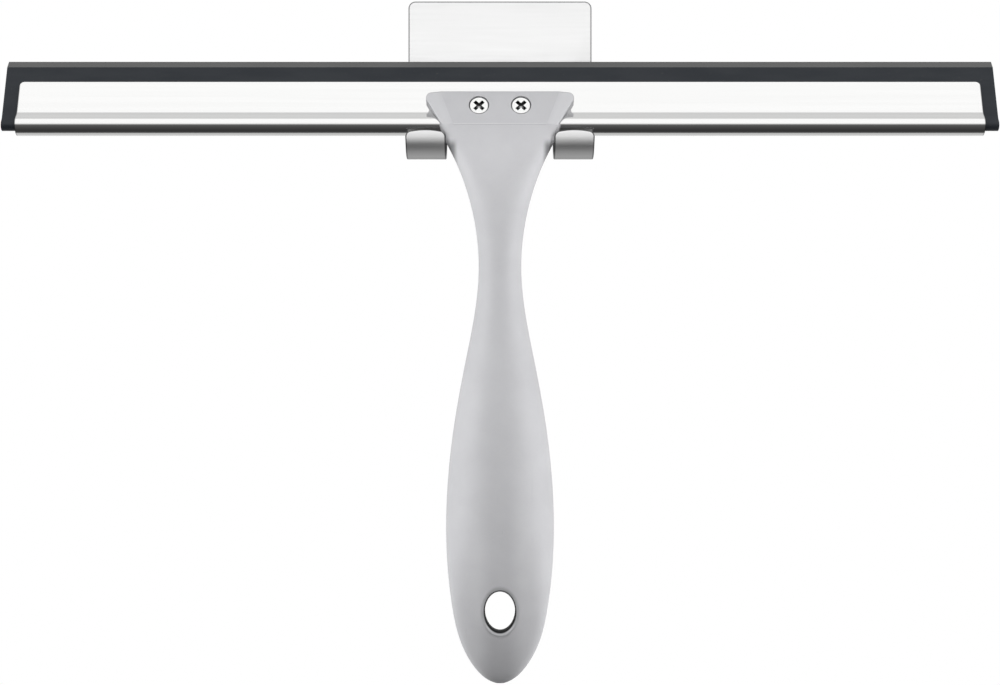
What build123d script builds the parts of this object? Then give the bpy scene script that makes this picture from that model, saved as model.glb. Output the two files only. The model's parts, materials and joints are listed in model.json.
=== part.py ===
"""Window squeegee hanging blade up on a stainless wall hook.

Millimetres. X runs along the blade, Y points into the wall, Z is up.
The origin is the centre of the adhesive pad's wall face.
"""

import os
from math import cos, radians, sin

from build123d import *

# Adhesive pad between the wall and the hook
pad_thickness = 1.0
pad_margin = 2.0
pad_corner = 2.0

# Wall hook, one bent stainless sheet with two J prongs
hook_width = 57.4
hook_sheet = 1.2
plate_half_height = 19.9
plate_corner = 2.2
bowl_radius = 9.5
slot_clearance = 1.1
slot_rise = 2.7
slot_corner = 2.0
tip_drop = 2.8
tip_arch = 0.8
tip_corner = 1.6
hook_edge = 0.35

# How the squeegee hangs: its shoulders sit between the prongs, its spine over the bowls
spine_rise = 8.8
spine_ahead = 3.5
lean = 20.0

# Blade channel, one stainless sheet rolled round the rubber's bead
channel_length = 295.6
channel_sheet = 0.6
channel_height = 14.0
channel_throat = 4.5
channel_corner = 1.5
spine_radius = 3.2

# Rubber blade
rubber_length = 304.8
rubber_height = 22.0
web_thickness = 2.4
bevel_length = 2.6
bevel_depth = 1.2
bead_clearance = 0.9

# Handle head, the two cheeks that clamp the channel; their thickness is measured over the spine
head_width = 45.2
head_top = 9.1
head_side = 2.2
waist_inset = 1.0
head_corner = 1.5
head_edge = 0.5
cheek_thickness = 2.0
facet_top_width = 36.5
facet_slope = 0.37
facet_width = 4.67
facet_depth = 1.0
groove_clearance = 0.1

# Handle stations: widths, depths, and drops below the spine or rises from the end
handle_length = 170.8
crease_flare, crease_drop = 3.2, 0.2
shoulder_width, shoulder_depth, shoulder_drop = 30.8, 12.2, 7.3
throat_width, throat_depth, throat_drop = 20.6, 11.8, 19.55
neck_width, neck_depth, neck_drop = 13.05, 11.0, 44.6
flare_width, flare_depth, flare_drop = 21.35, 15.4, 72.8
swell_width, swell_depth, swell_drop = 27.5, 18.4, 89.6
grip_width, grip_depth, grip_from_end = 33.0, 17.4, 49.4
eye_width, eye_depth, eye_from_end = 29.25, 7.4, 23.3
tail_width, tail_depth, tail_from_end = 18.7, 4.8, 7.2
crease_taper = 0.25
tail_taper = 0.35
shoulder_fullness = 1.08
grip_fullness = 0.58
fullness_reach = 0.16

# Hollow inside the two handle shells, from and to shares of the way down, and the locating pegs
shell_wall = 2.2
seam_bevel = 0.2
hollow_top = 0.14
hollow_bottom = 0.72
boss_diameter = 7.0
peg_diameter = 4.0
peg_length = 4.0
peg_clearance = 0.1
peg_drops = [72.0, 114.0]

# Hanging hole
hole_width = 9.2
hole_height = 12.4
hole_from_end = 22.4
hole_rim = 1.2

# Two clamp screws and their nuts
screw_spacing = 12.8
screw_rise = 4.3
screw_diameter = 3.0
screw_clearance = 0.2
screw_head_diameter = 6.0
screw_head_height = 1.6
screw_head_round = 0.5
screw_sink = 0.3
counterbore_clearance = 0.1
recess_span = 3.8
recess_arm = 1.1
recess_depth = 1.2
recess_turn = 45.0
nut_across_flats = 5.5
nut_thickness = 1.8
nut_clearance = 0.1
nut_sink = 0.2
thread_clearance = 0.05

# How finely the handle's smooth surface is drawn
handle_sections = 28
hollow_sections = 14
end_reach = 0.993

# Places that follow from the sizes above
plate_front = -(pad_thickness + hook_sheet)
bowl_center = (plate_front - bowl_radius, -plate_half_height)
tip_z = -plate_half_height - tip_drop
slot_width = shoulder_width + 2 * slot_clearance
prong_width = (hook_width - slot_width) / 2
prong_center = (hook_width + slot_width) / 4
spine_y = plate_front - bowl_radius - spine_ahead
spine_z = spine_rise - plate_half_height - bowl_radius
half_channel = web_thickness / 2 + channel_sheet
cheek_face = spine_radius + cheek_thickness
crease_width = shoulder_width + 2 * crease_flare
head_waist_width = crease_width - 2 * waist_inset
crease_half_depth = (cheek_face + crease_drop * sin(radians(lean))) / cos(radians(lean))
head_drop = (crease_drop + cheek_face * sin(radians(lean))) / cos(radians(lean))
screw_seat = cheek_face - screw_sink - screw_head_height
nut_seat = cheek_face - nut_sink - nut_thickness
screw_hole = screw_diameter + 2 * screw_clearance
screw_places = [(-screw_spacing / 2, screw_rise), (screw_spacing / 2, screw_rise)]
peg_places = [(0, spine_z - drop) for drop in peg_drops]
hole_place = (0, spine_z - handle_length + hole_from_end)
past_all = 2 * (handle_length + rubber_height)

# Planes: flat on the blade, across the blade, through the bowls, and where the shells part
up_blade = Vector(0, sin(radians(lean)), cos(radians(lean)))
off_blade = Vector(0, -cos(radians(lean)), sin(radians(lean)))
spine_center = Vector(0, spine_y, spine_z)
blade_plane = Plane(origin=spine_center, x_dir=(1, 0, 0), z_dir=off_blade)
section_plane = Plane(origin=spine_center, x_dir=up_blade, z_dir=(1, 0, 0))
bowl_plane = Plane(origin=(0, bowl_center[0], 0), x_dir=(1, 0, 0), z_dir=(0, -1, 0))
parting_plane = Plane(origin=(0, spine_y, 0), x_dir=(1, 0, 0), z_dir=(0, -1, 0))


def spine_outline(radius, web, throat, height):
    """A round spine with a straight web rising from it, across the blade."""
    with BuildSketch(section_plane) as outline:
        Circle(radius)
        with Locations((height / 2, 0)):
            Rectangle(height, web)
        fillet(outline.vertices().group_by(Axis.X)[0], throat)
    return outline.sketch


def cut_screw_holes():
    """Clearance holes for the two screws through the part being built."""
    with BuildSketch(blade_plane) as holes:
        with Locations(*screw_places):
            Circle(screw_hole / 2)
    extrude(holes.sketch, amount=2 * cheek_face, both=True, mode=Mode.SUBTRACT)


def hook_profile():
    """The hook's plate and bowls from the side, a little beyond the prong tips."""
    with BuildSketch(Plane.YZ) as profile:
        with BuildLine():
            inside = CenterArc(bowl_center, bowl_radius, 0, -180)
            outside = CenterArc(bowl_center, bowl_radius + hook_sheet, 0, -180)
            Line(inside @ 1, outside @ 1)
            Polyline(
                inside @ 0,
                (plate_front, plate_half_height),
                (-pad_thickness, plate_half_height),
                outside @ 0,
            )
        make_face()
    return profile.sketch


def tip_trim():
    """What is cut from the two prongs, seen from the front, to arch and round their tips."""
    half = prong_width / 2
    low = tip_z - 2 * (tip_arch + tip_corner)
    with BuildSketch() as tab:
        with BuildLine():
            arch = ThreePointArc((-half, tip_z - tip_arch), (0, tip_z), (half, tip_z - tip_arch))
            Polyline(arch @ 0, (-half, low), (half, low), arch @ 1)
        make_face()
        fillet(tab.vertices().group_by(Axis.Y)[-1], tip_corner)
    with BuildSketch(bowl_plane) as trim:
        with Locations((-prong_center, 0), (prong_center, 0)):
            with Locations((0, low)):
                Rectangle(prong_width, bowl_radius, align=(Align.CENTER, Align.MIN))
            add(tab.sketch, mode=Mode.SUBTRACT)
    return trim.sketch


def handle_guide():
    """The smooth curve through the stations: half width, half depth, height."""
    stations = [
        (crease_width, 2 * crease_half_depth, crease_drop),
        (shoulder_width, shoulder_depth, shoulder_drop),
        (throat_width, throat_depth, throat_drop),
        (neck_width, neck_depth, neck_drop),
        (flare_width, flare_depth, flare_drop),
        (swell_width, swell_depth, swell_drop),
        (grip_width, grip_depth, handle_length - grip_from_end),
        (eye_width, eye_depth, handle_length - eye_from_end),
        (tail_width, tail_depth, handle_length - tail_from_end),
        (0, 0, handle_length),
    ]
    points = [(width / 2, depth / 2, spine_z - drop) for width, depth, drop in stations]
    with BuildLine() as guide:
        Spline(*points, tangents=[(-crease_taper, 0, -1), (-1, -tail_taper, 0)], tangent_scalars=[1, 1])
    return guide.edge()


def handle_section(along, wall, faces):
    """A rounded section across the handle, inset by a wall, on one face or both."""
    half_width, half_depth, height = handle_guide().position_at(along)
    fade = max(0, 1 - along / fullness_reach)
    fullness = grip_fullness + (shoulder_fullness - grip_fullness) * fade
    side = half_width - wall
    with BuildSketch(Plane((0, spine_y, height))) as section:
        with BuildLine():
            for face in faces:
                crown = -face * (half_depth - wall)
                Bezier((side, 0), (side, fullness * crown), (fullness * side, crown), (0, crown))
                Bezier((0, crown), (-fullness * side, crown), (-side, fullness * crown), (-side, 0))
            if len(faces) == 1:
                Line((-side, 0), (side, 0))
        make_face()
    return section.sketch


def spread(first, last, count):
    """Evenly spaced places from first to last."""
    return [first + (last - first) * index / (count - 1) for index in range(count)]


def facet_plane(side, face):
    """One of the head's four sloping facets, facing out to its side and face."""
    along = Vector(-side * facet_slope, -1, 0)
    across = Vector(side * facet_width, 0, -face * facet_depth)
    corner = Vector(side * facet_top_width / 2, head_top, face * cheek_face)
    normal = along.cross(across) * (side * face)
    start = blade_plane.from_local_coords(corner)
    return Plane(origin=start, z_dir=blade_plane.from_local_coords(normal) - spine_center)


def head_cheek(face):
    """One cheek of the head, from the blade's middle out to its faceted face."""
    half_head = head_width / 2
    outward = Axis(spine_center, off_blade * face)
    with BuildPart() as cheek:
        with BuildSketch(blade_plane) as outline:
            with BuildLine():
                Polyline(
                    (0, head_top),
                    (half_head, head_top),
                    (half_head, head_top - head_side),
                    (head_waist_width / 2, -head_drop),
                    (0, -head_drop),
                )
                mirror(about=Plane.YZ)
            make_face()
            fillet(outline.vertices().group_by(Axis.Y)[-1], head_corner)
        extrude(amount=face * cheek_face)
        split(bisect_by=facet_plane(-1, face), keep=Keep.BOTTOM)
        split(bisect_by=facet_plane(1, face), keep=Keep.BOTTOM)
        left, right, flat = cheek.faces().sort_by(outward)[-3:]
        rim = (left.edges() - flat.edges()) + (right.edges() - flat.edges())
        rim += flat.edges() - left.edges() - right.edges()
        above_crease = rim.filter_by_position(Axis(spine_center, up_blade), 0, head_top)
        fillet(above_crease, head_edge)
    return cheek.part


def handle_shell(face):
    """One side of the handle with its cheek: face is 1 for the front, -1 for the rear."""
    with BuildPart() as shell:
        add(head_cheek(face))
        loft([handle_section(along, 0, [face]) for along in spread(0, end_reach, handle_sections)])
        add(handle_hollow(), mode=Mode.SUBTRACT)
        with BuildSketch(parting_plane):
            with Locations(hole_place):
                Ellipse(hole_width / 2, hole_height / 2)
        extrude(amount=grip_depth, both=True, mode=Mode.SUBTRACT)
        hole_center = parting_plane.from_local_coords(Vector(*hole_place))
        fillet(shell.edges().filter_by(GeomType.BSPLINE).sort_by_distance(hole_center)[0], hole_rim)
        radius = spine_radius + groove_clearance
        throat = channel_throat - groove_clearance
        groove = spine_outline(radius, 2 * half_channel, throat, 2 * channel_height)
        extrude(groove, amount=head_width, both=True, mode=Mode.SUBTRACT)
        cut_screw_holes()
        parting = shell.faces().filter_by(Plane.XZ).sort_by(SortBy.AREA)[-1]
        seam = parting.outer_wire().edges().sort_by(Axis.Z)[:-1]
        chamfer(seam, seam_bevel)
    return shell.part


def handle_hollow():
    """The space inside the shells, with the peg bosses left standing in it."""
    with BuildPart() as hollow:
        places = spread(hollow_top, hollow_bottom, hollow_sections)
        loft([handle_section(along, shell_wall, [1, -1]) for along in places])
        with BuildSketch(parting_plane):
            with Locations(*peg_places):
                Circle(boss_diameter / 2)
        extrude(amount=swell_depth, both=True, mode=Mode.SUBTRACT)
    return hollow.part


os.makedirs("parts", exist_ok=True)

# Adhesive pad
with BuildPart() as adhesive_pad:
    with BuildSketch(Plane.XZ):
        RectangleRounded(hook_width - 2 * pad_margin, 2 * (plate_half_height - pad_margin), pad_corner)
    extrude(amount=pad_thickness)

# Wall hook
with BuildPart() as wall_hook:
    extrude(hook_profile(), amount=hook_width / 2, both=True)
    fillet(wall_hook.edges().filter_by(Axis.Y).group_by(Axis.Z)[-1], plate_corner)
    with BuildSketch(Plane.XZ) as slot:
        with Locations((0, slot_rise - plate_half_height)):
            Rectangle(slot_width, past_all, align=(Align.CENTER, Align.MAX))
        fillet(slot.vertices().group_by(Axis.Y)[-1], slot_corner)
    extrude(amount=past_all, both=True, mode=Mode.SUBTRACT)
    extrude(tip_trim(), amount=2 * bowl_radius, mode=Mode.SUBTRACT)
    fillet(wall_hook.edges(), hook_edge)

# Blade channel
with BuildPart() as blade_channel:
    outside = spine_outline(spine_radius, 2 * half_channel, channel_throat, channel_height)
    extrude(outside, amount=channel_length / 2, both=True)
    bore_radius = spine_radius - channel_sheet
    inside = spine_outline(bore_radius, web_thickness, channel_throat + channel_sheet, 2 * channel_height)
    extrude(inside, amount=channel_length / 2, both=True, mode=Mode.SUBTRACT)
    fillet(blade_channel.edges().filter_by(Axis(spine_center, off_blade)), channel_corner)
    cut_screw_holes()

# Rubber blade
with BuildPart() as rubber_blade:
    bead_radius = spine_radius - channel_sheet - bead_clearance
    profile = spine_outline(bead_radius, web_thickness, channel_throat, rubber_height)
    extrude(profile, amount=rubber_length / 2, both=True)
    lip = rubber_blade.edges().filter_by(Axis.X).group_by(Axis(spine_center, up_blade))[-1]
    front_lip = lip.sort_by(Axis(spine_center, off_blade))[-1]
    front_face = rubber_blade.faces().filter_by(Plane(spine_center, z_dir=off_blade)).sort_by(Axis.Y)[0]
    chamfer(front_lip, bevel_length, bevel_depth, reference=front_face)
    cut_screw_holes()

# Handle front shell, with the counterbores that show the screw heads
with BuildPart() as handle_front:
    add(handle_shell(1))
    with BuildSketch(blade_plane.offset(screw_seat)):
        with Locations(*screw_places):
            Circle(screw_head_diameter / 2 + counterbore_clearance)
    extrude(amount=cheek_face, mode=Mode.SUBTRACT)
    with BuildSketch(parting_plane):
        with Locations(*peg_places):
            Circle(peg_diameter / 2 + peg_clearance)
    extrude(amount=peg_length + peg_clearance, mode=Mode.SUBTRACT)

# Handle rear shell, with the nut pockets and the pegs
with BuildPart() as handle_rear:
    add(handle_shell(-1))
    with BuildSketch(blade_plane.offset(-nut_seat)):
        with Locations(*screw_places):
            RegularPolygon(nut_across_flats / 2 + nut_clearance, 6, major_radius=False)
    extrude(amount=-cheek_face, mode=Mode.SUBTRACT)
    with BuildSketch(parting_plane):
        with Locations(*peg_places):
            Circle(peg_diameter / 2)
    extrude(amount=peg_length)

# Clamp screws, pan heads with a cross recess
with BuildPart() as clamp_screws:
    with BuildSketch(blade_plane.offset(screw_seat)):
        with Locations(*screw_places):
            Circle(screw_head_diameter / 2)
    extrude(amount=screw_head_height)
    fillet(clamp_screws.edges().group_by(Axis(spine_center, off_blade))[-1], screw_head_round)
    with BuildSketch(blade_plane.offset(screw_seat)):
        with Locations(*screw_places):
            Circle(screw_diameter / 2)
    extrude(amount=-(screw_seat + nut_seat + nut_thickness))
    with BuildSketch(blade_plane.offset(screw_seat + screw_head_height)):
        with Locations(*screw_places):
            Rectangle(recess_span, recess_arm, rotation=recess_turn)
            Rectangle(recess_arm, recess_span, rotation=recess_turn)
    extrude(amount=-recess_depth, mode=Mode.SUBTRACT)

# Clamp nuts
with BuildPart() as clamp_nuts:
    with BuildSketch(blade_plane.offset(-nut_seat)):
        with Locations(*screw_places):
            RegularPolygon(nut_across_flats / 2, 6, major_radius=False)
            Circle(screw_diameter / 2 + thread_clearance, mode=Mode.SUBTRACT)
    extrude(amount=-nut_thickness)

for name, piece in {
    "adhesive_pad": adhesive_pad,
    "wall_hook": wall_hook,
    "blade_channel": blade_channel,
    "rubber_blade": rubber_blade,
    "handle_front": handle_front,
    "handle_rear": handle_rear,
    "clamp_screws": clamp_screws,
    "clamp_nuts": clamp_nuts,
}.items():
    piece.part.label = name
    export_step(piece.part, f"parts/{name}.step")
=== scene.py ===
"""Looks of the window squeegee on its wall hook: materials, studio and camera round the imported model.

Metres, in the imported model's frame: X along the blade, Y into the wall, Z up.
A span is where a mask starts and ends, and a stretch below 1 draws noise out along that axis.
"""

import json
from math import cos, pi, radians, sin

import bpy
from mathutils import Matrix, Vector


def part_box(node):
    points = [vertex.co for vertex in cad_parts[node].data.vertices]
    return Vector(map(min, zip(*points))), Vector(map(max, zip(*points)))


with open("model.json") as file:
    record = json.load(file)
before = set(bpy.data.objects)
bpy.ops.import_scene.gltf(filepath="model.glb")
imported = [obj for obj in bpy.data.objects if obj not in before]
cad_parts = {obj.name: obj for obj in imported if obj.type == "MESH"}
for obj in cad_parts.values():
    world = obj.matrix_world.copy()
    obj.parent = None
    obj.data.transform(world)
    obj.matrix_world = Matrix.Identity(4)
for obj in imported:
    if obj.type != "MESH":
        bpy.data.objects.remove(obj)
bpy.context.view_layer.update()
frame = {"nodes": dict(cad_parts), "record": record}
nodes = frame["nodes"]
mounts = {mount["name"]: mount["pos_m"] for mount in frame["record"]["mounts"]}
scene = bpy.context.scene

# Directions: along the blade, up it, out of its face, out from the wall, straight up and down
lean = radians(20)
along_blade = (1.0, 0.0, 0.0)
up_blade = (0.0, sin(lean), cos(lean))
off_blade = (0.0, -cos(lean), sin(lean))
outward = (0.0, -1.0, 0.0)
upward = (0.0, 0.0, 1.0)
downward = (0.0, 0.0, -1.0)

# The frame's origin, in the middle of the pad's wall face
wall_middle = (0.0, 0.0, 0.0)

# Levels of a mask over its span
rising = (0.0, 1.0)
falling = (1.0, 0.0)

# Hook: the outlines of its plate and prongs, and the width of the painted shade lines along their sheared
# edges
hook_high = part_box("wall_hook")[1]
plate_corner = 0.0022
prong_middle = 0.0226
prong_half_width = 0.0061
prong_top = -0.0172
prong_fade = 0.0002
tip_height = -0.0225
tip_arch = 0.0008
tip_corner = 0.0016
bowl_middle = (0.0, -0.0117, 0.0)
edge_shade_width = 0.0002
edge_shade_fade = 0.0003

# Painted shade under the prongs, darker where they face down: a span of facing down, and the share there
underside_shade_stages = (((0.59, 0.79), 0.25), ((0.965, 0.985), 0.30))

# Blade and head, measured up the blade and off its face from the middle of the channel's spine
spine_radius = 0.0032
channel_low, channel_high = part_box("blade_channel")
spine_place = (0.0, channel_low.y + spine_radius, channel_low.z + spine_radius)
channel_end = 0.0003
# Where the bevel starts, up the blade; the bevel is painted paler as painted light
bevel_start = 0.0194
bevel_back = -0.0009
bevel_fade = 0.0001
head_top = 0.0091
crease_height = -0.0021
crease_fade = 0.0002
facet_half_width = 0.01825
facet_slope = 0.37
facet_span = (-0.0004, 0.0020)
flat_span = (-0.0004, 0.0004)
front_span = (0.0, 0.001)
# Painted light: the facets' colour is lighter than the flat's by this share
facet_light_tone = 1.045

# Lines along the crease, a painted highlight and a painted shade line under it, as height above the crease
# and tone
crease_light_and_shade_lines = ((0.0001, 1.15), (-0.0002, 0.85))
line_half_width = 0.0002

# Screws, measured as the blade is
screw_radius = 0.0030
screw_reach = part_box("clamp_screws")[1].x - screw_radius
screw_rise = 0.0043
screw_top = 0.0049
sunk_span = (screw_top - 0.0003, screw_top - 0.0001)
# The recess is painted dark as shade, out to this radius
recess_radius = 0.0021
recess_fade = 0.0002
# A painted glint in the middle of the recess: its span out from the axis and its share
glint_span = (0.0002, 0.0006)
glint_share = 0.45
turning_pitch = 0.00025

# Hole in the handle, with spans in the hole's half sizes from its middle
hole_place = mounts["hang_eye"]
hole_half_width = 0.0046
hole_half_height = 0.0062
# The hole's wall, painted dark as shade
wall_span = (1.04, 1.12)
# Painted shade round the hole's sides and top
hole_shade_span = (1.14, 1.34)
rim_span = (1.24, 1.34)
under_span = (-1.0, -0.4)
hole_shade_share = 0.45

# Painted shade on the handle: dark marks on the flanks beside the prongs and a darker crown low down; and
# a polished grip
flank_shade_place = (0.0, 0.0, -0.0296)
flank_shade_reach = (0.0126, 0.0145)
flank_shade_span = (0.0020, 0.0048)
flank_shade_shares = (0.6, 1.0)
crown_drop = (0.095, 0.190)
crown_reach = (0.0015, 0.0075)
crown_shade_share = 0.185
grip_place = (0.0, 0.0, -0.1250)
grip_span = (0.02, 0.06)

# Noise: scales per metre, stretches, turns in degrees and the spans that are used
tone_scale, smudge_scale, streak_scale, scratch_scale, brush_scale = 900, 55, 2500, 700, 4000
mottle_scale, flake_scale, flank_shade_scale = 120, 5000, 260
satin_scale, hairline_scale, spark_scale = 45, 900, 3500
speck_scale, bloom_scale, extrusion_scale, cell_scale = 1400, 300, 3000, 2600
even = (1, 1, 1)
hook_grain = (0.03, 1, 1)
channel_grain = (0.01, 1, 1)
scratch_stretch = (0.05, 1, 1)
hairline_stretch = (1, 1, 0.04)
bloom_stretch = (0.2, 1, 1)
extrusion_stretch = (0.03, 1, 1)
no_turn = (0, 0, 0)
scratch_turn = (0, 24, 0)
hairline_turn = (0, 12, 0)
most_noise = (0.3, 0.7)
ridges = (0.70, 0.78)
smudge_noise = (0.52, 0.72)
flake_noise = (0.5, 0.8)
flank_shade_noise = (0.2, 0.5)
speck_noise = (0.66, 0.76)
cell_span = (0.1, 0.7)

# Roughness of each material, and what wear adds to it
hook_roughness = 0.38
channel_roughness = 0.10
screw_roughness = 0.16
nut_roughness = 0.2
scratch_roughness = 0.12
satin_roughness = (0.54, 0.61)
grip_roughness = -0.04
hairline_roughness = 0.08
rim_roughness = -0.22
hole_roughness = 0.5
rubber_roughness = (0.48, 0.60)
foam_roughness = 0.8
floor_roughness = 0.7

# Other shader levels, and shares of one colour over another
plastic_metallic = 0.75
plastic_specular = 0.45
rubber_specular = 0.35
grain_tones = (0.988, 1.012)
mottle_share = 0.96
flake_share = 0.5
speck_share = 0.6
cell_share = 0.85

# Colours, linear
steel_colour = (0.66, 0.66, 0.655)
hook_colour = (0.47, 0.47, 0.47)
# Dull cut ends of the channel, and a painted line of shade along the hook plate's edge
cut_end_and_edge_shade_colour = (0.12, 0.12, 0.124)
# Painted shade along the prongs' sides and tips
prong_edge_shade_colour = (0.05, 0.05, 0.052)
# Painted shade under the prongs
underside_shade_colour = (0.02, 0.02, 0.02)
# Painted shade in the screws' recess
recess_shade_colour = (0.05, 0.05, 0.052)
plastic_colour = (0.360, 0.360, 0.371)
flake_colour = (0.379, 0.379, 0.390)
# Painted shade on the handle's flanks and round the hole
plastic_shade_colour = (0.13, 0.13, 0.134)
# Painted shade on the hole's wall
hole_wall_shade_colour = (0.020, 0.020, 0.021)
# Painted shade on the grip's crown
crown_shade_colour = (0.0, 0.0, 0.0)
rubber_colour = (0.0098, 0.0140, 0.0202)
dust_colour = (0.035, 0.036, 0.037)
# Painted light on the rubber's bevel
bevel_light_colour = (0.095, 0.096, 0.096)
foam_colour = (0.80, 0.80, 0.79)
floor_colour = (0.66, 0.66, 0.66)

# Camera, square on to the wall and level with the middle of the object's height
camera_place = (0.0, -0.5522, -0.08705)
camera_lens_mm = 63.15

# Studio: light levels round the blade's length, in degrees up from straight out of the wall
round_levels = [
    (-180, 1.0),
    (-108, 0.75),
    (-99, 0.65),
    (-93, 0.08),
    (-60, 0.05),
    (-20, 0.10),
    (1, 0.17),
    (14, 1.25),
    (24, 1.45),
    (69, 1.45),
    (76, 0.92),
    (180, 1.0),
]

# Light at both sides, and a backdrop from pale grey to white on the wall side, by the way one looks
side_span = (0.43, 0.64)
side_blend = (-0.5, 0.5)
side_levels = (1.0, 1.04)
room_span = (0.45, 0.93)
room_levels = (0.74, 1.0)

# Soft boxes, with upward tilt and beam in degrees; those at the sides are discs, left and right
handle_nodes = ("handle_front", "handle_rear")
handle_box = {"place": (0, -0.174, -0.124), "size": (0.2, 0.287), "watts": 0.365, "tilt": 43, "beam": 48}
shoulder_box = {"place": (0, -0.25, -0.0292), "size": (0.12, 0.01), "watts": 0.0058, "beam": 10}
hook_box = {"place": (0, -0.62, -0.377), "size": (1.6, 1.127), "watts": 9.67}
side_boxes = (("left_light", -1, 47.8), ("right_light", 1, 49.3))
side_distance = 1.5
side_diameter = 4.7

# Floor, solid at its middle and faded out to its rim
floor_height = -1.2
floor_radius = 3.5
floor_sides = 128
floor_fade = (0.3 * floor_radius, floor_radius)

# Socket places on the colour mix node, whose sockets share names with its other kinds
mix_first, mix_second, mix_result = 6, 7, 2


def rgba(colour):
    """A colour with full alpha."""
    return (*colour, 1.0)


def shaded(colour, share):
    """A colour at a share of its level."""
    return tuple(share * level for level in colour)


def put(tree, socket, value):
    """Set a socket to a plain value, or link another socket to it."""
    if isinstance(value, bpy.types.NodeSocket):
        tree.links.new(value, socket)
    else:
        socket.default_value = value


def new_material(name):
    """A material with its node tree and its shader."""
    material = bpy.data.materials.new(name)
    material.use_nodes = True
    tree = material.node_tree
    return material, tree, tree.nodes["Principled BSDF"]


def calc(tree, operation, first, second=0.0):
    """A math node on values or sockets."""
    node = tree.nodes.new("ShaderNodeMath")
    node.operation = operation
    put(tree, node.inputs[0], first)
    put(tree, node.inputs[1], second)
    return node.outputs[0]


def spread(tree, value, span, levels=rising):
    """A value's span mapped smoothly to two levels, which hold beyond it."""
    node = tree.nodes.new("ShaderNodeMapRange")
    node.interpolation_type = "SMOOTHSTEP"
    put(tree, node.inputs["Value"], value)
    for socket, number in zip(node.inputs[1:5], (*span, *levels)):
        socket.default_value = number
    return node.outputs["Result"]


def mixed(tree, mask, first, second):
    """Two colours, or colour sockets, mixed by a mask."""
    node = tree.nodes.new("ShaderNodeMix")
    node.data_type = "RGBA"
    put(tree, node.inputs["Factor"], mask)
    for place, colour in ((mix_first, first), (mix_second, second)):
        put(tree, node.inputs[place], rgba(colour) if isinstance(colour, tuple) else colour)
    return node.outputs[mix_result]


def along(tree, start, axis):
    """How far a point of the piece lies from a starting place along an axis."""
    place = tree.nodes.new("ShaderNodeTexCoord")
    offset = tree.nodes.new("ShaderNodeVectorMath")
    offset.operation = "SUBTRACT"
    offset.inputs[1].default_value = start
    product = tree.nodes.new("ShaderNodeVectorMath")
    product.operation = "DOT_PRODUCT"
    product.inputs[1].default_value = axis
    tree.links.new(place.outputs["Object"], offset.inputs[0])
    tree.links.new(offset.outputs["Vector"], product.inputs[0])
    return product.outputs["Value"]


def sideways(tree):
    """How far a point lies from the middle, to either side."""
    return calc(tree, "ABSOLUTE", along(tree, wall_middle, along_blade))


def facing(tree, axis):
    """How far a surface faces along an axis, from -1 to 1."""
    place = tree.nodes.new("ShaderNodeTexCoord")
    product = tree.nodes.new("ShaderNodeVectorMath")
    product.operation = "DOT_PRODUCT"
    product.inputs[1].default_value = axis
    tree.links.new(place.outputs["Normal"], product.inputs[0])
    return product.outputs["Value"]


def distance(tree, first, second):
    """The length of two offsets at right angles."""
    squares = calc(tree, "ADD", calc(tree, "POWER", first, 2.0), calc(tree, "POWER", second, 2.0))
    return calc(tree, "SQRT", squares)


def noise(tree, scale, stretch=even, turn=no_turn, detail=2.0):
    """Noise in the piece's own coordinates, turned and then stretched along the axes."""
    place = tree.nodes.new("ShaderNodeTexCoord")
    mapping = tree.nodes.new("ShaderNodeMapping")
    mapping.inputs["Rotation"].default_value = [radians(angle) for angle in turn]
    mapping.inputs["Scale"].default_value = stretch
    texture = tree.nodes.new("ShaderNodeTexNoise")
    texture.inputs["Scale"].default_value = scale
    texture.inputs["Detail"].default_value = detail
    tree.links.new(place.outputs["Object"], mapping.inputs["Vector"])
    tree.links.new(mapping.outputs["Vector"], texture.inputs["Vector"])
    return texture.outputs["Fac"]


def bump(tree, shader, height, strength, depth):
    """Bump the shader's normal by a height value, over any bump already there."""
    node = tree.nodes.new("ShaderNodeBump")
    node.inputs["Strength"].default_value = strength
    node.inputs["Distance"].default_value = depth
    tree.links.new(height, node.inputs["Height"])
    for link in shader.inputs["Normal"].links:
        tree.links.new(link.from_socket, node.inputs["Normal"])
    tree.links.new(node.outputs["Normal"], shader.inputs["Normal"])


def steel(name, colour, roughness, grain=even, brushing=0.15, smudging=0.35):
    """Stainless steel: grain along one way, finger smudges and a few fine scratches."""
    material, tree, shader = new_material(name)
    shader.inputs["Metallic"].default_value = 1.0
    tone = spread(tree, noise(tree, tone_scale, grain, detail=4), most_noise, grain_tones)
    shade = tree.nodes.new("ShaderNodeVectorMath")
    shade.operation = "SCALE"
    shade.inputs[0].default_value = colour
    tree.links.new(tone, shade.inputs["Scale"])
    tree.links.new(shade.outputs["Vector"], shader.inputs["Base Color"])

    brushed = ((1 - brushing) * roughness, (1 + brushing) * roughness)
    streaks = spread(tree, noise(tree, streak_scale, grain, detail=3), most_noise, brushed)
    smudged = (0.0, smudging * roughness)
    smudges = spread(tree, noise(tree, smudge_scale, detail=5), smudge_noise, smudged)
    scratches = noise(tree, scratch_scale, scratch_stretch, scratch_turn, detail=3)
    scored = spread(tree, scratches, ridges, (0.0, scratch_roughness))
    levels = calc(tree, "ADD", calc(tree, "ADD", streaks, smudges), scored)
    tree.links.new(levels, shader.inputs["Roughness"])
    bump(tree, shader, noise(tree, brush_scale, grain, detail=3), strength=0.05, depth=0.00002)
    return material


def recolour(material, mask, colour):
    """Lay another colour over a material's own, where a mask is."""
    tree = material.node_tree
    socket = tree.nodes["Principled BSDF"].inputs["Base Color"]
    under = socket.links[0].from_socket
    tree.links.new(mixed(tree, mask, under, colour), socket)


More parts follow.
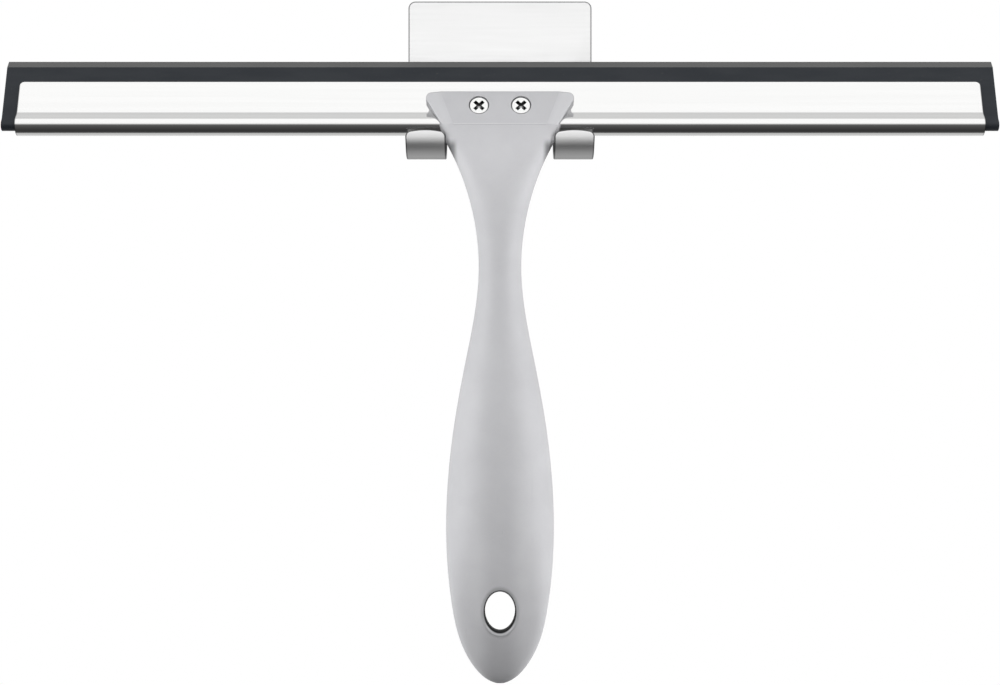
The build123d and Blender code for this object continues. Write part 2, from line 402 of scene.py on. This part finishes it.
def rounded_edge(tree, past_side, past_top, corner):
    """A mask along an outline with round corners, from how far a point is past the corners' middles."""
    past_side = calc(tree, "MAXIMUM", past_side, 0.0)
    past_top = calc(tree, "MAXIMUM", past_top, 0.0)
    reach = distance(tree, past_side, past_top)
    return spread(tree, reach, (corner - edge_shade_width - edge_shade_fade, corner - edge_shade_width))


def plate_edge(tree, across, height):
    """A mask along the plate's sheared edge, for a painted line of shade."""
    past_side = calc(tree, "SUBTRACT", across, hook_high.x - plate_corner)
    past_top = calc(tree, "SUBTRACT", height, hook_high.z - plate_corner)
    return rounded_edge(tree, past_side, past_top, plate_corner)


def prong_edge(tree, across, height):
    """A mask along the prongs' sheared sides and arched tips, below the plate, for a painted line of
    shade.
    """
    off_middle = calc(tree, "ABSOLUTE", calc(tree, "SUBTRACT", across, prong_middle))
    past_side = calc(tree, "SUBTRACT", off_middle, prong_half_width - tip_corner)
    share = calc(tree, "POWER", calc(tree, "DIVIDE", off_middle, prong_half_width), 2.0)
    arch = calc(tree, "MULTIPLY", share, tip_arch)
    past_tip = calc(tree, "ADD", calc(tree, "SUBTRACT", height, tip_height - tip_corner), arch)
    past_tip = calc(tree, "MINIMUM", past_tip, along(tree, bowl_middle, outward))
    below = spread(tree, height, (prong_top - prong_fade, prong_top), falling)
    return calc(tree, "MULTIPLY", rounded_edge(tree, past_side, past_tip, tip_corner), below)


def hook_steel():
    """Satin sheet, with painted shade where it faces down and painted lines of shade along its sheared
    edges, darker round the prongs.
    """
    material = steel("hook_steel", hook_colour, hook_roughness, hook_grain, brushing=0.06, smudging=0.12)
    tree = material.node_tree
    # Painted shade: darker where the surface faces down, in two stages
    for span, share in underside_shade_stages:
        underside_shade = spread(tree, facing(tree, downward), span, (0.0, share))
        recolour(material, underside_shade, underside_shade_colour)
    across = sideways(tree)
    height = along(tree, wall_middle, upward)
    # Painted shade: a dark line along the plate's sheared edge
    recolour(material, plate_edge(tree, across, height), cut_end_and_edge_shade_colour)
    # Painted shade: a darker line round the prongs' sides and arched tips
    recolour(material, prong_edge(tree, across, height), prong_edge_shade_colour)
    return material


def channel_steel():
    """Polished sheet with its rolling marks along the blade and dull cut ends."""
    material = steel("channel_steel", steel_colour, channel_roughness, channel_grain)
    tree = material.node_tree
    ends = spread(tree, sideways(tree), (channel_high.x - channel_end, channel_high.x))
    recolour(material, ends, cut_end_and_edge_shade_colour)
    return material


def screw_steel():
    """Bright plated steel with turning marks, a cross recess painted dark as shade, and a painted glint in
    its middle.
    """
    material = steel("screw_steel", steel_colour, screw_roughness)
    tree = material.node_tree
    off_side = calc(tree, "SUBTRACT", sideways(tree), screw_reach)
    off_level = calc(tree, "SUBTRACT", along(tree, spine_place, up_blade), screw_rise)
    from_axis = distance(tree, off_side, off_level)
    sunk = spread(tree, along(tree, spine_place, off_blade), sunk_span, falling)
    near_axis = spread(tree, from_axis, (recess_radius, recess_radius + recess_fade), falling)
    # Painted shade in the sunk cross recess
    recolour(material, calc(tree, "MULTIPLY", near_axis, sunk), recess_shade_colour)
    # Painted glint: the bare steel colour in the middle of the recess
    glint = spread(tree, from_axis, glint_span, (glint_share, 0.0))
    recolour(material, calc(tree, "MULTIPLY", glint, sunk), steel_colour)
    rings = calc(tree, "SINE", calc(tree, "MULTIPLY", from_axis, 2 * pi / turning_pitch))
    bump(tree, tree.nodes["Principled BSDF"], rings, strength=0.06, depth=0.00001)
    return material


def flaked_colour(tree):
    """Silver grey, a little mottled, with fine metal flake."""
    mottle = spread(tree, noise(tree, mottle_scale, detail=5), most_noise)
    colour = mixed(tree, mottle, shaded(plastic_colour, mottle_share), plastic_colour)
    flake = spread(tree, noise(tree, flake_scale, detail=1), flake_noise, (0.0, flake_share))
    return mixed(tree, flake, colour, flake_colour)


def head_colour(tree, colour):
    """Painted light on the head: facets drawn lighter, and a painted highlight and a painted shade line
    along the crease on the flat between them.
    """
    up_head = along(tree, spine_place, up_blade)
    inset = calc(tree, "MULTIPLY", calc(tree, "SUBTRACT", head_top, up_head), facet_slope)
    past_line = calc(tree, "SUBTRACT", calc(tree, "ADD", sideways(tree), inset), facet_half_width)
    on_cheek = spread(tree, up_head, (crease_height - crease_fade, crease_height + crease_fade))
    # Painted light: the facets drawn lighter than the flat
    lit_facet = calc(tree, "MULTIPLY", spread(tree, past_line, facet_span), on_cheek)
    colour = mixed(tree, lit_facet, colour, shaded(plastic_colour, facet_light_tone))

    ahead = spread(tree, along(tree, spine_place, off_blade), front_span)
    flat = calc(tree, "MULTIPLY", ahead, spread(tree, past_line, flat_span, falling))
    # Painted highlight along the crease, and painted shade under it
    for rise, tone in crease_light_and_shade_lines:
        off_line = calc(tree, "ABSOLUTE", calc(tree, "SUBTRACT", up_head, crease_height + rise))
        line = spread(tree, off_line, (0.0, line_half_width), falling)
        colour = mixed(tree, calc(tree, "MULTIPLY", line, flat), colour, shaded(plastic_colour, tone))
    return colour


def shaded_flanks_and_crown(tree, colour):
    """Painted shade: dark marks on the flanks level with the prongs, broken up by noise, and the crown
    darkened low on the grip.
    """
    off_flank_shade = calc(tree, "ABSOLUTE", along(tree, flank_shade_place, upward))
    level_with = spread(tree, off_flank_shade, flank_shade_span, falling)
    beside = calc(tree, "MULTIPLY", spread(tree, sideways(tree), flank_shade_reach), level_with)
    flank_shade_breakup = spread(tree, noise(tree, flank_shade_scale, detail=4), flank_shade_noise, flank_shade_shares)
    # Painted shade on the flanks beside the prongs, broken up by noise
    colour = mixed(tree, calc(tree, "MULTIPLY", beside, flank_shade_breakup), colour, plastic_shade_colour)
    # Painted shade: the crown darker low on the grip
    low = spread(tree, along(tree, wall_middle, downward), crown_drop, (0.0, crown_shade_share))
    crown = spread(tree, sideways(tree), crown_reach, falling)
    return mixed(tree, calc(tree, "MULTIPLY", low, crown), colour, crown_shade_colour)


def plastic():
    """Satin silver-grey moulding: metal flake, spark texture, a polished grip, a hole wall painted dark as
    shade and painted shade round the hole's sides and top.
    """
    material, tree, shader = new_material("handle_plastic")
    shader.inputs["Metallic"].default_value = plastic_metallic
    shader.inputs["Specular IOR Level"].default_value = plastic_specular
    across = calc(tree, "DIVIDE", along(tree, hole_place, along_blade), hole_half_width)
    up = calc(tree, "DIVIDE", along(tree, hole_place, upward), hole_half_height)
    from_hole = distance(tree, across, up)
    under_hole = spread(tree, up, under_span, falling)
    hole_wall = spread(tree, from_hole, wall_span, falling)

    colour = head_colour(tree, flaked_colour(tree))
    # Painted shade round the hole's sides and top, not under it
    hole_shade = spread(tree, from_hole, hole_shade_span, (hole_shade_share, 0.0))
    shaded_round_hole = calc(tree, "MULTIPLY", calc(tree, "SUBTRACT", 1.0, under_hole), hole_shade)
    colour = mixed(tree, shaded_round_hole, colour, plastic_shade_colour)
    # Painted shade on the hole's wall
    colour = mixed(tree, hole_wall, colour, hole_wall_shade_colour)
    tree.links.new(shaded_flanks_and_crown(tree, colour), shader.inputs["Base Color"])

    levels = spread(tree, noise(tree, satin_scale, detail=5), most_noise, satin_roughness)
    off_grip = calc(tree, "ABSOLUTE", along(tree, grip_place, upward))
    held = spread(tree, off_grip, grip_span, (grip_roughness, 0.0))
    hairlines = noise(tree, hairline_scale, hairline_stretch, hairline_turn, detail=3)
    scored = spread(tree, hairlines, ridges, (0.0, hairline_roughness))
    rim = spread(tree, from_hole, rim_span, (rim_roughness, 0.0))
    polished = calc(tree, "MULTIPLY", under_hole, rim)
    dull_wall = calc(tree, "MULTIPLY", hole_wall, hole_roughness)
    for wear in (held, scored, polished, dull_wall):
        levels = calc(tree, "ADD", levels, wear)
    tree.links.new(levels, shader.inputs["Roughness"])
    bump(tree, shader, noise(tree, spark_scale, detail=2), strength=0.12, depth=0.00003)
    return material


def rubber():
    """Dark extruded rubber with fine lines along it and a little dust, with its bevel painted paler as
    painted light.
    """
    material, tree, shader = new_material("blade_rubber")
    shader.inputs["Specular IOR Level"].default_value = rubber_specular
    specks = spread(tree, noise(tree, speck_scale, detail=3), speck_noise, (0.0, speck_share))
    colour = mixed(tree, specks, rubber_colour, dust_colour)
    # Painted light: the bevel, which faces up, drawn paler than the front
    above_bevel_start = spread(tree, along(tree, spine_place, up_blade), (bevel_start, bevel_start + bevel_fade))
    front = spread(tree, along(tree, spine_place, off_blade), (bevel_back, bevel_back + bevel_fade))
    colour = mixed(tree, calc(tree, "MULTIPLY", above_bevel_start, front), colour, bevel_light_colour)
    tree.links.new(colour, shader.inputs["Base Color"])
    bloom = noise(tree, bloom_scale, bloom_stretch, detail=5)
    tree.links.new(spread(tree, bloom, most_noise, rubber_roughness), shader.inputs["Roughness"])
    extruded = noise(tree, extrusion_scale, extrusion_stretch, detail=2)
    bump(tree, shader, extruded, strength=0.12, depth=0.00003)
    return material


def foam():
    """Pale closed-cell foam tape."""
    material, tree, shader = new_material("adhesive_foam")
    shader.inputs["Roughness"].default_value = foam_roughness
    cells = tree.nodes.new("ShaderNodeTexVoronoi")
    cells.inputs["Scale"].default_value = cell_scale
    place = tree.nodes.new("ShaderNodeTexCoord")
    tree.links.new(place.outputs["Object"], cells.inputs["Vector"])
    shade = spread(tree, cells.outputs["Distance"], cell_span)
    colour = mixed(tree, shade, foam_colour, shaded(foam_colour, cell_share))
    tree.links.new(colour, shader.inputs["Base Color"])
    bump(tree, shader, cells.outputs["Distance"], strength=0.5, depth=0.0001)
    return material


def dress(node, material):
    """Give a CAD node one material."""
    nodes[node].data.materials.clear()
    nodes[node].data.materials.append(material)


def add_camera():
    """The camera at the photograph's viewing angle."""
    data = bpy.data.cameras.new("camera")
    data.lens = camera_lens_mm
    data.sensor_fit = "HORIZONTAL"
    camera = bpy.data.objects.new("camera", data)
    camera.location = camera_place
    camera.rotation_euler = (radians(90), 0, 0)
    scene.collection.objects.link(camera)
    scene.camera = camera


def add_world():
    """A plain backdrop to the camera; to the object, strips of light along the blade and at both sides."""
    world = bpy.data.worlds.new("studio")
    scene.world = world
    world.use_nodes = True
    tree = world.node_tree
    tree.nodes.clear()

    def background(colour, strength):
        node = tree.nodes.new("ShaderNodeBackground")
        put(tree, node.inputs["Color"], colour)
        put(tree, node.inputs["Strength"], strength)
        return node.outputs["Background"]

    def mix(mask, first, second):
        node = tree.nodes.new("ShaderNodeMixShader")
        put(tree, node.inputs["Fac"], mask)
        tree.links.new(first, node.inputs[1])
        tree.links.new(second, node.inputs[2])
        return node.outputs["Shader"]

    place = tree.nodes.new("ShaderNodeTexCoord")
    split = tree.nodes.new("ShaderNodeSeparateXYZ")
    tree.links.new(place.outputs["Generated"], split.inputs["Vector"])
    ahead = calc(tree, "MULTIPLY", split.outputs["Y"], -1.0)
    angle = calc(tree, "ARCTAN2", split.outputs["Z"], ahead)
    turn = calc(tree, "ADD", calc(tree, "MULTIPLY", angle, 0.5 / pi), 0.5)
    ramp = tree.nodes.new("ShaderNodeValToRGB")
    while len(ramp.color_ramp.elements) < len(round_levels):
        ramp.color_ramp.elements.new(0.5)
    for element, (degrees, level) in zip(ramp.color_ramp.elements, round_levels):
        element.position = (degrees + 180) / 360
        element.color = rgba((level, level, level))
    tree.links.new(turn, ramp.inputs["Fac"])

    white = rgba((1, 1, 1))
    strips = background(ramp.outputs["Color"], 1.0)
    sides = background(white, spread(tree, split.outputs["X"], side_blend, side_levels))
    at_side = spread(tree, calc(tree, "ABSOLUTE", split.outputs["X"]), side_span)
    studio = mix(at_side, strips, sides)
    backdrop = background(white, spread(tree, split.outputs["Y"], room_span, room_levels))
    path = tree.nodes.new("ShaderNodeLightPath")
    shown = mix(path.outputs["Is Camera Ray"], studio, backdrop)
    output = tree.nodes.new("ShaderNodeOutputWorld")
    tree.links.new(shown, output.inputs["Surface"])


def add_light(name, receivers, place, size, watts, tilt=0, turn=0, beam=180, disc=False, glossy=True):
    """A soft box that faces the wall unless it is turned, and lights only the nodes that receive it."""
    data = bpy.data.lights.new(name, "AREA")
    data.shape = "DISK" if disc else "RECTANGLE"
    data.size, data.size_y = size
    data.energy = watts
    data.spread = radians(beam)
    light = bpy.data.objects.new(name, data)
    light.location = place
    light.rotation_euler = (radians(90 + tilt), 0, radians(turn))
    light.visible_camera = False
    light.visible_glossy = glossy
    scene.collection.objects.link(light)
    lit = bpy.data.collections.new(name + "_receivers")
    for node in receivers:
        lit.objects.link(nodes[node])
    light.light_linking.receiver_collection = lit


def add_lights():
    """Soft boxes: a low one, a narrow one and one at each side for the handle, and one for the hook."""
    add_light("handle_light", handle_nodes, **handle_box, glossy=False)
    add_light("shoulder_light", handle_nodes, **shoulder_box, glossy=False)
    add_light("hook_light", ("wall_hook",), **hook_box)
    for name, side, watts in side_boxes:
        place = (side * side_distance, 0, 0)
        size = (side_diameter, side_diameter)
        add_light(name, handle_nodes, place, size, watts, turn=side * 90, disc=True)


def add_floor():
    """A pale round floor well below the object, kept out of its reflections."""
    bpy.ops.mesh.primitive_circle_add(
        vertices=floor_sides, radius=floor_radius, fill_type="NGON", location=(0, 0, floor_height)
    )
    floor = bpy.context.object
    floor.name = "floor"
    material, tree, shader = new_material("floor")
    shader.inputs["Base Color"].default_value = rgba(floor_colour)
    shader.inputs["Roughness"].default_value = floor_roughness
    from_middle = distance(tree, along(tree, wall_middle, along_blade), along(tree, wall_middle, outward))
    tree.links.new(spread(tree, from_middle, floor_fade, falling), shader.inputs["Alpha"])
    floor.data.materials.append(material)
    floor.visible_diffuse = False
    floor.visible_glossy = False
    floor.visible_shadow = False


dress("wall_hook", hook_steel())
dress("blade_channel", channel_steel())
dress("clamp_screws", screw_steel())
dress("clamp_nuts", steel("nut_steel", steel_colour, nut_roughness))
dress("rubber_blade", rubber())
handle_plastic = plastic()
dress("handle_front", handle_plastic)
dress("handle_rear", handle_plastic)
dress("adhesive_pad", foam())

scene.view_settings.view_transform = "Standard"
add_camera()
add_world()
add_lights()
add_floor()
